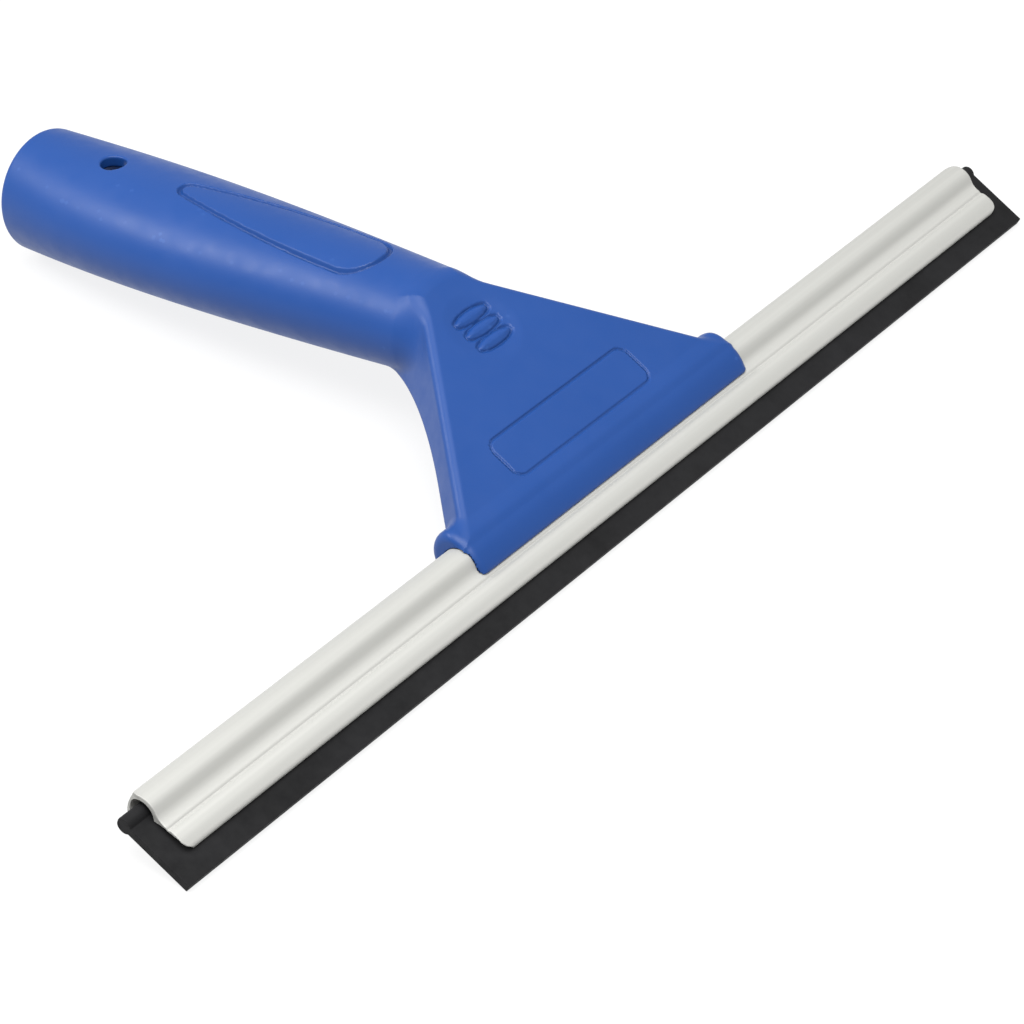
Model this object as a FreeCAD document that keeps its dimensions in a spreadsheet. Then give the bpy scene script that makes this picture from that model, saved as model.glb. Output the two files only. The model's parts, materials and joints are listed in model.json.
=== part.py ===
import FreeCAD, Part
import math
import os

import Sketcher

# Window cleaning squeegee with a fixed head: a moulded handle, an aluminium channel and a rubber blade.
#
# Row frame: +X along the blade, +Y from the grip towards the working edge, +Z up. The squeegee lies thumb
# side up on a table at Z = 0, on the back of its barrel and on the rubber's working edge.
#
# Every body is drawn in one head frame, then laid down on the table. The head frame has its origin on the
# working edge, +X along the blade, +Y forward along the blade's plane and +Z square to that plane. In the
# names below "setback" is the distance back from the working edge and "rise" the height above the plane.

# Millimetres, and degrees for the crank angle.
DIMENSIONS = {
    # rubber strip
    "rubber_length": 315.0,
    "rubber_thickness": 2.0,
    "rubber_depth": 19.9,
    "bead_radius": 1.9,
    # aluminium channel
    "channel_length": 304.8,
    "channel_nose": 5.6,
    "channel_back": 22.35,
    "channel_wall": 1.2,
    "bulge_radius": 4.45,
    "waist_setback": 12.6,
    "waist_radius": 4.2,
    "lip_setback": 9.0,
    "lip_radius": 8.0,
    "nose_radius": 1.1,
    "slot_height": 2.2,
    # jaw round the channel
    "jaw_length": 101.2,
    "jaw_radius": 6.8,
    "jaw_setback": 19.6,
    "jaw_top": 6.1,
    "jaw_mouth": 12.3,
    "jaw_lip_height": 3.3,
    "collar_rounding": 2.2,
    # fan between the jaw and the neck
    "fan_front_width": 99.3,
    "fan_back_width": 7.8,
    "fan_front_setback": 20.0,
    "fan_back_setback": 75.0,
    "fan_top": 5.7,
    "fan_bottom": 3.3,
    "fan_edge_radius": 2.0,
    # the fan's underside: flat in front, then an arc down to the barrel
    "skirt_front_setback": 36.0,
    "skirt_radius": 45.0,
    "skirt_back_setback": 65.5,
    "skirt_depth": 21.0,
    "skirt_edge_radius": 1.2,
    # thumb rest on the fan: a shallow dish with raised ovals
    "dish_setback": 57.5,
    "dish_radius": 9.6,
    "dish_depth": 0.6,
    "oval_length": 10.8,
    "oval_width": 2.4,
    "oval_pitch": 3.8,
    "oval_count": 3,
    # barrel, measured along its axis from its rear end
    "crank_angle": 31.4,
    "crank_setback": 60.7,
    "barrel_length": 134.3,
    "rim_radius": 1.5,
    "socket_radius": 11.5,
    "socket_depth": 95.0,
    "lock_hole_radius": 3.2,
    "lock_hole_reach": 26.4,
    # the barrel's oval sections
    "rear_reach": 0.0,
    "rear_half_width": 15.5,
    "rear_half_height": 15.5,
    "palm_reach": 41.0,
    "palm_half_width": 18.9,
    "palm_half_height": 14.1,
    "fingers_reach": 81.0,
    "fingers_half_width": 17.5,
    "fingers_half_height": 13.4,
    "elbow_reach": 122.0,
    "elbow_half_width": 14.7,
    "elbow_half_height": 11.9,
    # the root's oval sections: where each has its top and its bottom
    "neck_top_setback": 66.5,
    "neck_top_rise": 5.4,
    "neck_bottom_setback": 56.0,
    "neck_bottom_rise": -11.8,
    "neck_half_width": 13.0,
    "flare_top_setback": 55.0,
    "flare_top_rise": 5.4,
    "flare_bottom_setback": 47.5,
    "flare_bottom_rise": -8.4,
    "flare_half_width": 12.0,
    "keel_top_setback": 43.0,
    "keel_top_rise": 5.0,
    "keel_bottom_setback": 39.5,
    "keel_bottom_rise": -5.8,
    "keel_half_width": 10.0,
    "toe_top_setback": 31.0,
    "toe_top_rise": 3.6,
    "toe_bottom_setback": 30.0,
    "toe_bottom_rise": -4.2,
    "toe_half_width": 7.5,
    # groove round the thumb pad on top of the barrel
    "pad_tip_reach": 51.5,
    "pad_tip_radius": 3.2,
    "pad_front_reach": 103.2,
    "pad_front_radius": 8.6,
    "pad_side_radius": 250.0,
    "groove_width": 1.2,
    "groove_depth": 0.5,
}

# The sections of the barrel from its rear end forward, and those of the root that carries it on under the
# fan and thins out there. Each name is the first word of the section's dimensions.
BARREL_SECTIONS = ("rear", "palm", "fingers", "elbow")
ROOT_SECTIONS = ("neck", "flare", "keel", "toe")

# How near, in millimetres, an edge has to be to a plane to count as lying in it.
TOUCHING = 0.05

UP = FreeCAD.Vector(0, 0, 1)
ACROSS = FreeCAD.Vector(1, 0, 0)


def make_sheet(document):
    """Holds the driving dimensions, one named cell each."""
    sheet = document.addObject("Spreadsheet::Sheet", "Dimensions")
    for row, (name, value) in enumerate(DIMENSIONS.items(), start=1):
        sheet.set(f"A{row}", name)
        sheet.set(f"B{row}", str(value))
        sheet.setAlias(f"B{row}", name)
    document.recompute()
    return sheet


def cell(name):
    """A driving dimension's value, read from the sheet."""
    return float(getattr(sheet, name))


def make_body(name):
    body = document.addObject("PartDesign::Body", name)
    body.Label = name
    return body


def origin_plane(body, role):
    """One of a body's own origin planes."""
    return next(item for item in body.Origin.OriginFeatures if item.Role == role)


def add_sketch(body, name, role):
    """An empty sketch on one of a body's origin planes."""
    sketch = body.newObject("Sketcher::SketchObject", name)
    sketch.AttachmentSupport = [(origin_plane(body, role), "")]
    sketch.MapMode = "FlatFace"
    return sketch


def value_of(sketch, expression):
    """The number that an expression over the sheet gives."""
    value = sketch.evalExpression(expression)
    return float(getattr(value, "Value", value))


def bind(sketch, kind, elements, expression):
    """Adds one dimension to a sketch and ties it to the sheet."""
    constraint = Sketcher.Constraint(kind, *elements, value_of(sketch, expression))
    number = sketch.addConstraint(constraint)
    sketch.setExpression(f"Constraints[{number}]", expression)


def bind_point(sketch, element, point, across, along):
    """Ties one point's two coordinates, measured from the sketch's origin, to the sheet."""
    bind(sketch, "DistanceX", (-1, 1, element, point), across)
    bind(sketch, "DistanceY", (-1, 1, element, point), along)


def draw_polygon(sketch, corners):
    """A closed polygon whose corners are pairs of expressions over the sheet."""
    points = [FreeCAD.Vector(*(value_of(sketch, text) for text in corner)) for corner in corners]
    lines = []
    for start, end in zip(points, points[1:] + points[:1]):
        lines.append(sketch.addGeometry(Part.LineSegment(start, end)))
    for line, following, corner in zip(lines, lines[1:] + lines[:1], corners):
        sketch.addConstraint(Sketcher.Constraint("Coincident", line, 2, following, 1))
        bind_point(sketch, line, 1, *corner)


def draw_circle(sketch, across, along, radius):
    """A circle whose centre and radius are expressions over the sheet."""
    centre = FreeCAD.Vector(value_of(sketch, across), value_of(sketch, along))
    circle = sketch.addGeometry(Part.Circle(centre, UP, value_of(sketch, radius)))
    bind_point(sketch, circle, 3, across, along)
    bind(sketch, "Radius", (circle,), radius)


def draw_ellipse(sketch, half_width, half_height):
    """An ellipse about the sketch's origin, wider than it is tall, its sizes expressions over the sheet."""
    end_of_width = FreeCAD.Vector(value_of(sketch, half_width), 0)
    end_of_height = FreeCAD.Vector(0, value_of(sketch, half_height))
    ellipse = sketch.addGeometry(Part.Ellipse(end_of_width, end_of_height, FreeCAD.Vector()))
    sketch.exposeInternalGeometry(ellipse)
    width_line, height_line = ellipse + 1, ellipse + 2
    sketch.addConstraint(Sketcher.Constraint("Coincident", ellipse, 3, -1, 1))
    sketch.addConstraint(Sketcher.Constraint("Horizontal", width_line))
    bind(sketch, "Distance", (width_line,), f"2 * ({half_width})")
    bind(sketch, "Distance", (height_line,), f"2 * ({half_height})")


def extrude(body, kind, name, sketch, length, midplane=False, reversed_way=False):
    """A Pad or Pocket of a sketch, its length tied to the sheet."""
    feature = body.newObject(f"PartDesign::{kind}", name)
    feature.Profile = sketch
    feature.setExpression("Length", length)
    feature.Midplane = midplane
    feature.Reversed = reversed_way
    sketch.Visibility = False
    document.recompute()
    return feature


def channel_section():
    """Centres of the arcs of the channel's upper outline, each tangent to the one before it."""
    bulge = FreeCAD.Vector(cell("bulge_radius") - cell("channel_back"), 0)
    waist = FreeCAD.Vector(-cell("waist_setback"), 0)
    reach = cell("bulge_radius") + cell("waist_radius")
    waist.y = math.sqrt(reach**2 - (waist.x - bulge.x) ** 2)
    lip = FreeCAD.Vector(-cell("lip_setback"), 0)
    reach = cell("waist_radius") + cell("lip_radius")
    lip.y = waist.y - math.sqrt(reach**2 - (lip.x - waist.x) ** 2)
    nose = FreeCAD.Vector(-cell("channel_nose") - cell("nose_radius"), 0)
    reach = cell("lip_radius") - cell("nose_radius")
    nose.y = lip.y + math.sqrt(reach**2 - (nose.x - lip.x) ** 2)
    return {"bulge": bulge, "waist": waist, "lip": lip, "nose": nose}


def direction(start, end):
    """Angle of the line from one point to another."""
    return math.atan2(end.y - start.y, end.x - start.x)


def add_arc(sketch, centre, radius_name, first, last, side):
    """An arc from the angle first to the angle last, mirrored below the plane if side is -1."""
    if side < 0:
        first, last = -last, -first
    centre = FreeCAD.Vector(centre.x, centre.y * side)
    circle = Part.Circle(centre, UP, cell(radius_name))
    return sketch.addGeometry(Part.ArcOfCircle(circle, first, last))


def ends_that_meet(sketch, one, other):
    """The end numbers, 1 or 2, at which two neighbouring pieces of an outline meet."""
    gaps = {}
    for here in (1, 2):
        for there in (1, 2):
            gap = sketch.getPoint(one, here) - sketch.getPoint(other, there)
            gaps[here, there] = gap.Length
    return min(gaps, key=gaps.get)


def join(sketch, kind, one, other):
    """Makes two neighbouring pieces of an outline meet, at a corner or smoothly."""
    here, there = ends_that_meet(sketch, one, other)
    sketch.addConstraint(Sketcher.Constraint(kind, one, here, other, there))


def draw_channel_side(sketch, side):
    """The waist and lip arcs of one side of the channel, and their ties to the sheet."""
    at = channel_section()
    waist = add_arc(
        sketch, at["waist"], "waist_radius",
        direction(at["waist"], at["bulge"]), direction(at["waist"], at["lip"]), side,
    )
    lip = add_arc(
        sketch, at["lip"], "lip_radius",
        direction(at["lip"], at["nose"]), direction(at["lip"], at["waist"]), side,
    )
    for piece, name in ((waist, "waist"), (lip, "lip")):
        bind(sketch, "Radius", (piece,), f"Dimensions.{name}_radius")
        bind(sketch, "DistanceX", (-1, 1, piece, 3), f"-Dimensions.{name}_setback")
    join(sketch, "Tangent", waist, lip)
    return waist, lip


def draw_bulge(sketch):
    """The round back of the channel's outline."""
    at = channel_section()
    first = direction(at["bulge"], at["waist"])
    bulge = add_arc(sketch, at["bulge"], "bulge_radius", first, 2 * math.pi - first, 1)
    bind_point(sketch, bulge, 3, "Dimensions.bulge_radius - Dimensions.channel_back", "0")
    bind(sketch, "Radius", (bulge,), "Dimensions.bulge_radius")
    return bulge


def draw_channel_profile(sketch):
    """The extrusion's C: a bulge that holds the rubber's bead, a waist, and two lips beside the slot."""
    at = channel_section()
    bulge = draw_bulge(sketch)
    half_slot = cell("slot_height") / 2
    chamber_radius = cell("bulge_radius") - cell("channel_wall")
    throat = math.asin(half_slot / chamber_radius)
    circle = Part.Circle(at["bulge"], UP, chamber_radius)
    chamber = sketch.addGeometry(Part.ArcOfCircle(circle, throat, 2 * math.pi - throat))
    bind_point(sketch, chamber, 3, "Dimensions.bulge_radius - Dimensions.channel_back", "0")
    bind(sketch, "Radius", (chamber,), "Dimensions.bulge_radius - Dimensions.channel_wall")
    throat_x = at["bulge"].x + chamber_radius * math.cos(throat)
    for side in (1, -1):
        waist, lip = draw_channel_side(sketch, side)
        join(sketch, "Tangent", bulge, waist)
        nose = add_arc(sketch, at["nose"], "nose_radius", 0, direction(at["lip"], at["nose"]), side)
        bind(sketch, "Radius", (nose,), "Dimensions.nose_radius")
        bind(sketch, "DistanceX", (-1, 1, nose, 3), "-Dimensions.channel_nose - Dimensions.nose_radius")
        join(sketch, "Tangent", lip, nose)
        front = FreeCAD.Vector(-cell("channel_nose"), side * half_slot)
        top = FreeCAD.Vector(front.x, side * at["nose"].y)
        face = sketch.addGeometry(Part.LineSegment(top, front))
        join(sketch, "Tangent", nose, face)
        bind(sketch, "DistanceY", (-1, 1, face, 2), f"{side} * Dimensions.slot_height / 2")
        slot = sketch.addGeometry(Part.LineSegment(front, FreeCAD.Vector(throat_x, side * half_slot)))
        join(sketch, "Coincident", face, slot)
        sketch.addConstraint(Sketcher.Constraint("Horizontal", slot))
        join(sketch, "Coincident", slot, chamber)


def draw_jaw_profile(sketch):
    """The jaw's outside: a round back, and two straight lips that close in on the channel's waist."""
    centre = FreeCAD.Vector(-cell("jaw_setback"), 0)
    tip = FreeCAD.Vector(-cell("jaw_mouth"), cell("jaw_lip_height"))
    reach = centre.distanceToPoint(tip)
    first = direction(centre, tip) + math.acos(cell("jaw_radius") / reach)
    circle = Part.Circle(centre, UP, cell("jaw_radius"))
    back = sketch.addGeometry(Part.ArcOfCircle(circle, first, 2 * math.pi - first))
    bind_point(sketch, back, 3, "-Dimensions.jaw_setback", "0")
    bind(sketch, "Radius", (back,), "Dimensions.jaw_radius")
    touch = centre + cell("jaw_radius") * FreeCAD.Vector(math.cos(first), math.sin(first))
    lips = []
    for side in (1, -1):
        start = FreeCAD.Vector(touch.x, side * touch.y)
        end = FreeCAD.Vector(tip.x, side * tip.y)
        lip = sketch.addGeometry(Part.LineSegment(start, end))
        join(sketch, "Tangent", back, lip)
        bind_point(sketch, lip, 2, "-Dimensions.jaw_mouth", f"{side} * Dimensions.jaw_lip_height")
        lips.append(lip)
    front = sketch.addGeometry(Part.LineSegment(tip, FreeCAD.Vector(tip.x, -tip.y)))
    for lip in lips:
        join(sketch, "Coincident", front, lip)


def draw_jaw_cavity(sketch):
    """The channel's outline from its back to the crests of its lips, closed straight across the front."""
    bulge = draw_bulge(sketch)
    lips = []
    for side in (1, -1):
        waist, lip = draw_channel_side(sketch, side)
        join(sketch, "Tangent", bulge, waist)
        lips.append((lip, 1 if side > 0 else 2))
    points = [sketch.getPoint(lip, end) for lip, end in lips]
    front = sketch.addGeometry(Part.LineSegment(*points))
    for lip, _ in lips:
        join(sketch, "Coincident", front, lip)
    sketch.addConstraint(Sketcher.Constraint("Vertical", front))


def build_rubber_blade():
    """The strip: a flat blade with a round bead along its back, cut a little longer than the channel."""
    body = make_body("rubber_blade")
    sketch = add_sketch(body, "StripProfile", "YZ_Plane")
    bead_x = cell("bead_radius") - cell("rubber_depth")
    half = cell("rubber_thickness") / 2
    spread = math.asin(half / cell("bead_radius"))
    neck_x = bead_x + cell("bead_radius") * math.cos(spread)
    circle = Part.Circle(FreeCAD.Vector(bead_x, 0), UP, cell("bead_radius"))
    bead = sketch.addGeometry(Part.ArcOfCircle(circle, spread, 2 * math.pi - spread))
    bind_point(sketch, bead, 3, "Dimensions.bead_radius - Dimensions.rubber_depth", "0")
    bind(sketch, "Radius", (bead,), "Dimensions.bead_radius")
    faces = []
    for side in (1, -1):
        edge = FreeCAD.Vector(0, side * half)
        face = sketch.addGeometry(Part.LineSegment(edge, FreeCAD.Vector(neck_x, side * half)))
        bind_point(sketch, face, 1, "0", f"{side} * Dimensions.rubber_thickness / 2")
        sketch.addConstraint(Sketcher.Constraint("Horizontal", face))
        join(sketch, "Coincident", face, bead)
        faces.append(face)
    working_edge = sketch.addGeometry(Part.LineSegment(FreeCAD.Vector(0, half), FreeCAD.Vector(0, -half)))
    for face in faces:
        join(sketch, "Coincident", working_edge, face)
    extrude(body, "Pad", "Strip", sketch, "Dimensions.rubber_length", midplane=True)
    return body


def build_blade_channel():
    body = make_body("blade_channel")
    sketch = add_sketch(body, "ChannelProfile", "YZ_Plane")
    draw_channel_profile(sketch)
    extrude(body, "Pad", "Extrusion", sketch, "Dimensions.channel_length", midplane=True)
    return body


def barrel_plane(reach):
    """Setback, rise and lean of the plane across the barrel, reach forward of its rear end."""
    lean = "Dimensions.crank_angle * 1 deg"
    behind = f"(Dimensions.barrel_length - {reach})"
    return f"Dimensions.crank_setback + {behind} * cos({lean})", f"-{behind} * sin({lean})", lean


def barrel_oval(name, inset="0"):
    """The plane and the half sizes of one of the barrel's sections, drawn inset from its surface."""
    half = f"Dimensions.{name}_half"
    return barrel_plane(f"Dimensions.{name}_reach"), f"{half}_width - {inset}", f"{half}_height - {inset}"


def root_oval(name):
    """The plane and the half sizes of one of the root's sections, through its top and bottom points."""
    top = f"Dimensions.{name}_top"
    bottom = f"Dimensions.{name}_bottom"
    back = f"({top}_setback - {bottom}_setback)"
    height = f"({top}_rise - {bottom}_rise)"
    middle = f"({top}_setback + {bottom}_setback) / 2", f"({top}_rise + {bottom}_rise) / 2"
    plane = *middle, f"atan({back} / {height})"
    return plane, f"Dimensions.{name}_half_width", f"hypot({back}; {height}) / 2"


def tilt(sketch, plane, upright=True):
    """Ties a sketch to a setback and a rise, leaning about X. It is upright on XZ, or flat on XY."""
    setback, rise, lean = plane
    along, up = (setback, rise) if upright else (rise, f"-({setback})")
    sketch.AttachmentOffset = FreeCAD.Placement(FreeCAD.Vector(), FreeCAD.Rotation(ACROSS, 1))
    sketch.setExpression("AttachmentOffset.Base.y", up)
    sketch.setExpression("AttachmentOffset.Base.z", along)
    sketch.setExpression("AttachmentOffset.Rotation.Angle", lean)


def add_loft(body, kind, name, ovals):
    """Lofts a solid through ovals, each a plane, a half width and a half height."""
    sketches = []
    for number, (plane, half_width, half_height) in enumerate(ovals, start=1):
        sketch = add_sketch(body, f"{name}Section{number}", "XZ_Plane")
        tilt(sketch, plane)
        draw_ellipse(sketch, half_width, half_height)
        sketches.append(sketch)
    document.recompute()
    loft = body.newObject(f"PartDesign::{kind}Loft", name)
    loft.Profile = sketches[0]
    loft.Sections = sketches[1:]
    document.recompute()


def add_grip(body):
    """The barrel, and the root that runs on from it under the fan."""
    barrel = [barrel_oval(name) for name in BARREL_SECTIONS]
    root = [root_oval(name) for name in ROOT_SECTIONS]
    add_loft(body, "Additive", "Barrel", barrel)
    add_loft(body, "Additive", "Root", [barrel[-1], *root])


def round_edges(body, name, base, radius, chosen):
    """Rounds the edges of base for which chosen is true."""
    names = [f"Edge{n}" for n, edge in enumerate(base.Shape.Edges, start=1) if chosen(edge)]
    fillet = body.newObject("PartDesign::Fillet", name)
    fillet.Base = (base, names)
    fillet.setExpression("Radius", radius)
    document.recompute()
    return fillet


def add_thumb_rest(body):
    """A shallow round dish in the fan's face, with a row of raised ovals standing in it."""
    rim = add_sketch(body, "DishRim", "XY_Plane")
    rim.setExpression("AttachmentOffset.Base.z", "Dimensions.fan_top")
    draw_circle(rim, "0", "-Dimensions.dish_setback", "Dimensions.dish_radius")
    extrude(body, "Pocket", "Dish", rim, "Dimensions.dish_depth")

    oval = add_sketch(body, "OvalOutline", "XY_Plane")
    oval.setExpression("AttachmentOffset.Base.z", "Dimensions.fan_top - Dimensions.dish_depth")
    oval.setExpression(
        "AttachmentOffset.Base.y",
        "-Dimensions.dish_setback - Dimensions.oval_pitch * (Dimensions.oval_count - 1) / 2",
    )
    draw_ellipse(oval, "Dimensions.oval_length / 2", "Dimensions.oval_width / 2")
    pad = extrude(body, "Pad", "Oval", oval, "Dimensions.dish_depth")
    row = body.newObject("PartDesign::LinearPattern", "OvalRow")
    row.Originals = [pad]
    row.Direction = (origin_plane(body, "Y_Axis"), [""])
    row.setExpression("Length", "Dimensions.oval_pitch * (Dimensions.oval_count - 1)")
    row.setExpression("Occurrences", "Dimensions.oval_count")
    body.Tip = row
    document.recompute()


def draw_pad_outline(sketch, inset):
    """The thumb pad's outline, inset: a round tip and a round front, joined by two long bowed sides."""
    shrink = value_of(sketch, inset)
    radius = {name: cell(f"pad_{name}_radius") - shrink for name in ("tip", "front", "side")}
    tip = FreeCAD.Vector(0, cell("pad_tip_reach"))
    front = FreeCAD.Vector(0, cell("pad_front_reach"))
    to_tip = radius["side"] - radius["tip"]
    to_front = radius["side"] - radius["front"]
    span = front.y - tip.y
    along = (to_tip**2 - to_front**2 + span**2) / (2 * span)
    bow = FreeCAD.Vector(-math.sqrt(to_tip**2 - along**2), tip.y + along)
    far_bow = FreeCAD.Vector(-bow.x, bow.y)
    low = direction(bow, tip)
    high = direction(bow, front)
    stretches = [
        ("tip", tip, math.pi - low, 2 * math.pi + low),
        ("side", bow, low, high),
        ("front", front, high, math.pi - high),
        ("side", far_bow, math.pi - high, math.pi - low),
    ]
    arcs = []
    for name, centre, first, last in stretches:
        circle = Part.Circle(centre, UP, radius[name])
        arc = sketch.addGeometry(Part.ArcOfCircle(circle, first, last))
        bind(sketch, "Radius", (arc,), f"Dimensions.pad_{name}_radius - {inset}")
        if name != "side":
            bind_point(sketch, arc, 3, "0", f"Dimensions.pad_{name}_reach")
        arcs.append(arc)
    for arc, following in zip(arcs, arcs[1:] + arcs[:1]):
        join(sketch, "Tangent", arc, following)


def build_groove_cutter():
    """The room for the pad's groove: a ring above the barrel, reaching down to just below its surface."""
    body = make_body("groove_cutter")
    ring = add_sketch(body, "PadOutline", "XY_Plane")
    tilt(ring, barrel_plane("Dimensions.rear_reach"), upright=False)
    draw_pad_outline(ring, "0")
    draw_pad_outline(ring, "Dimensions.groove_width")
    extrude(body, "Pad", "Ring", ring, "2 * Dimensions.palm_half_height")
    core = [barrel_oval(name, "Dimensions.groove_depth") for name in BARREL_SECTIONS]
    add_loft(body, "Subtractive", "Core", core)
    return body


def cut_pad_groove(body):
    """The narrow groove that outlines the thumb pad on top of the barrel."""
    groove = body.newObject("PartDesign::Boolean", "PadGroove")
    groove.setObjects([build_groove_cutter()])
    groove.Type = "Cut"
    body.Tip = groove
    document.recompute()


def draw_under_skirt(sketch):
    """The space under the fan: level in front, then an arc, then along the barrel's slope to the back."""
    arc_run = "(Dimensions.skirt_back_setback - Dimensions.skirt_front_setback)"
    arc_end = f"asin({arc_run} / Dimensions.skirt_radius)"
    drop = f"(Dimensions.fan_bottom + Dimensions.skirt_radius * (1 - cos({arc_end})))"
    run = "(Dimensions.fan_back_setback + 1 - Dimensions.skirt_back_setback)"
    level = "-Dimensions.fan_bottom"
    floor = "-Dimensions.skirt_depth - 5"
    front = "1 - Dimensions.fan_front_setback"
    back = "-Dimensions.fan_back_setback - 1"
    corners = [
        ("-Dimensions.skirt_front_setback", level),
        (front, level),
        (front, floor),
        (back, floor),
        (back, f"-{drop} - {run} * tan(Dimensions.crank_angle * 1 deg)"),
        ("-Dimensions.skirt_back_setback", f"-{drop}"),
    ]
    points = [FreeCAD.Vector(*(value_of(sketch, text) for text in corner)) for corner in corners]
    lines = [sketch.addGeometry(Part.LineSegment(*ends)) for ends in zip(points, points[1:])]
    centre = points[0] - FreeCAD.Vector(0, cell("skirt_radius"))
    circle = Part.Circle(centre, UP, cell("skirt_radius"))
    curve = sketch.addGeometry(Part.ArcOfCircle(circle, math.pi / 2, direction(centre, points[-1])))
    bind(sketch, "Radius", (curve,), "Dimensions.skirt_radius")
    for line, corner in zip(lines, corners):
        bind_point(sketch, line, 1, *corner)
    bind_point(sketch, lines[-1], 2, *corners[-1])
    for line, following in zip(lines, lines[1:]):
        join(sketch, "Coincident", line, following)
    join(sketch, "Coincident", lines[0], curve)
    join(sketch, "Coincident", lines[-1], curve)


def add_fan(body):
    """The triangular fan: flat on top, and deeper towards the barrel, with its flanks' edges rounded."""
    outline = add_sketch(body, "FanOutline", "XY_Plane")
    outline.setExpression("AttachmentOffset.Base.z", "-Dimensions.skirt_depth")
    front = "Dimensions.fan_front_width / 2", "-Dimensions.fan_front_setback"
    back = "Dimensions.fan_back_width / 2", "-Dimensions.fan_back_setback"
    draw_polygon(outline, [front, back, (f"-{back[0]}", back[1]), (f"-{front[0]}", front[1])])
    fan = extrude(body, "Pad", "Fan", outline, "Dimensions.fan_top + Dimensions.skirt_depth")
    flank_length = max(edge.Length for edge in fan.Shape.Edges if edge.BoundBox.XMin > 0)
    round_edges(
        body, "FanEdges", fan, "Dimensions.fan_edge_radius",
        lambda edge: edge.BoundBox.ZMin > 0 and abs(edge.Length - flank_length) < TOUCHING,
    )
    underside = add_sketch(body, "SkirtProfile", "YZ_Plane")
    draw_under_skirt(underside)
    skirt = extrude(body, "Pocket", "Skirt", underside, "2 * Dimensions.fan_front_width", midplane=True)
    round_edges(
        body, "SkirtEdges", skirt, "Dimensions.skirt_edge_radius",
        lambda edge: edge.BoundBox.ZMax < 0 and edge.BoundBox.YLength > TOUCHING,
    )


def add_jaw(body):
    """The jaw along the fan's front: round ends, a flat top, and the seat for the channel."""
    profile = add_sketch(body, "JawProfile", "YZ_Plane")
    draw_jaw_profile(profile)
    jaw = extrude(body, "Pad", "Jaw", profile, "Dimensions.jaw_length", midplane=True)
    end = cell("jaw_length") / 2
    round_edges(
        body, "Collars", jaw, "Dimensions.collar_rounding",
        lambda edge: abs(abs(edge.CenterOfMass.x) - end) < TOUCHING and edge.Length > cell("jaw_radius"),
    )
    top = add_sketch(body, "JawTop", "XY_Plane")
    top.setExpression("AttachmentOffset.Base.z", "Dimensions.jaw_top")
    left, right = "-Dimensions.jaw_length / 2 - 1", "Dimensions.jaw_length / 2 + 1"
    back = "-Dimensions.jaw_setback - Dimensions.jaw_radius - 1"
    front = "-Dimensions.jaw_mouth"
    draw_polygon(top, [(right, front), (left, front), (left, back), (right, back)])
    extrude(body, "Pocket", "FlatTop", top, "Dimensions.jaw_radius", reversed_way=True)
    seat = add_sketch(body, "ChannelSeat", "YZ_Plane")
    draw_jaw_cavity(seat)
    extrude(body, "Pocket", "Seat", seat, "2 * Dimensions.jaw_length", midplane=True)


def add_pole_socket(body):
    """The blind bore in the barrel's rear end, the lock hole above it, and the rounded rear rim."""
    circle = add_sketch(body, "SocketCircle", "XZ_Plane")
    tilt(circle, barrel_plane("Dimensions.rear_reach"))
    draw_circle(circle, "0", "0", "Dimensions.socket_radius")
    extrude(body, "Pocket", "PoleSocket", circle, "Dimensions.socket_depth")

    circle = add_sketch(body, "LockHoleCircle", "XY_Plane")
    tilt(circle, barrel_plane("Dimensions.lock_hole_reach"), upright=False)
    draw_circle(circle, "0", "0", "Dimensions.lock_hole_radius")
    hole = extrude(body, "Pocket", "LockHole", circle, "2 * Dimensions.socket_radius", reversed_way=True)

    to_rear_plane = rear_plane().inverse()
    round_edges(
        body, "RearRim", hole, "Dimensions.rim_radius",
        lambda edge: abs(to_rear_plane.multVec(edge.CenterOfMass).z) < TOUCHING
        and edge.BoundBox.XLength > 2 * cell("socket_radius") + 1,
    )


def build_handle():
    """The moulding: fan, grip and jaw, then the thumb rest, the pole socket and the pad's groove."""
    body = make_body("handle")
    add_fan(body)
    add_grip(body)
    add_jaw(body)
    add_thumb_rest(body)
    add_pole_socket(body)
    cut_pad_groove(body)
    return body


def rear_plane():
    """The plane of the barrel's rear end: X across, Y up the end face and Z out of the socket."""
    return document.getObject("SocketCircle").Placement


def table_placement():
    """Lays the head frame down so that the rubber's edge and the barrel's rear rim both touch Z = 0."""
    rim = cell("rim_radius")
    half_height = cell("rear_half_height") - rim
    low_rim = rear_plane().multVec(FreeCAD.Vector(0, -half_height, -rim))
    high_rim = rear_plane().multVec(FreeCAD.Vector(0, half_height, -rim))
    half_rubber = cell("rubber_thickness") / 2
    setback = -low_rim.y
    rise = low_rim.z + half_rubber
    pitch = math.asin(rim / math.hypot(setback, rise)) - math.atan2(rise, setback)
    laid_down = FreeCAD.Rotation(ACROSS, -math.degrees(pitch))
    rear_y = laid_down.multVec(high_rim).y - rim
    front_y = laid_down.multVec(FreeCAD.Vector(0, 0, half_rubber)).y
    base = FreeCAD.Vector(0, -(rear_y + front_y) / 2, half_rubber * math.cos(pitch))
    return FreeCAD.Placement(base, laid_down)


def check_model(bodies):
    """Stops the build on a failed feature, a pocket that cut nothing or a body that isn't one solid."""
    for item in document.Objects:
        if "Invalid" in item.State or "Error" in item.State:
            raise RuntimeError(f"{item.Name} has failed: {item.State}")
        if item.TypeId == "PartDesign::Pocket" and item.Shape.Volume > item.BaseFeature.Shape.Volume - 1:
            raise RuntimeError(f"{item.Name} cuts nothing")
    for body in bodies:
        if body.Shape.isNull() or not body.Shape.isValid() or len(body.Shape.Solids) != 1:
            raise RuntimeError(f"{body.Label} isn't one valid solid")


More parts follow.
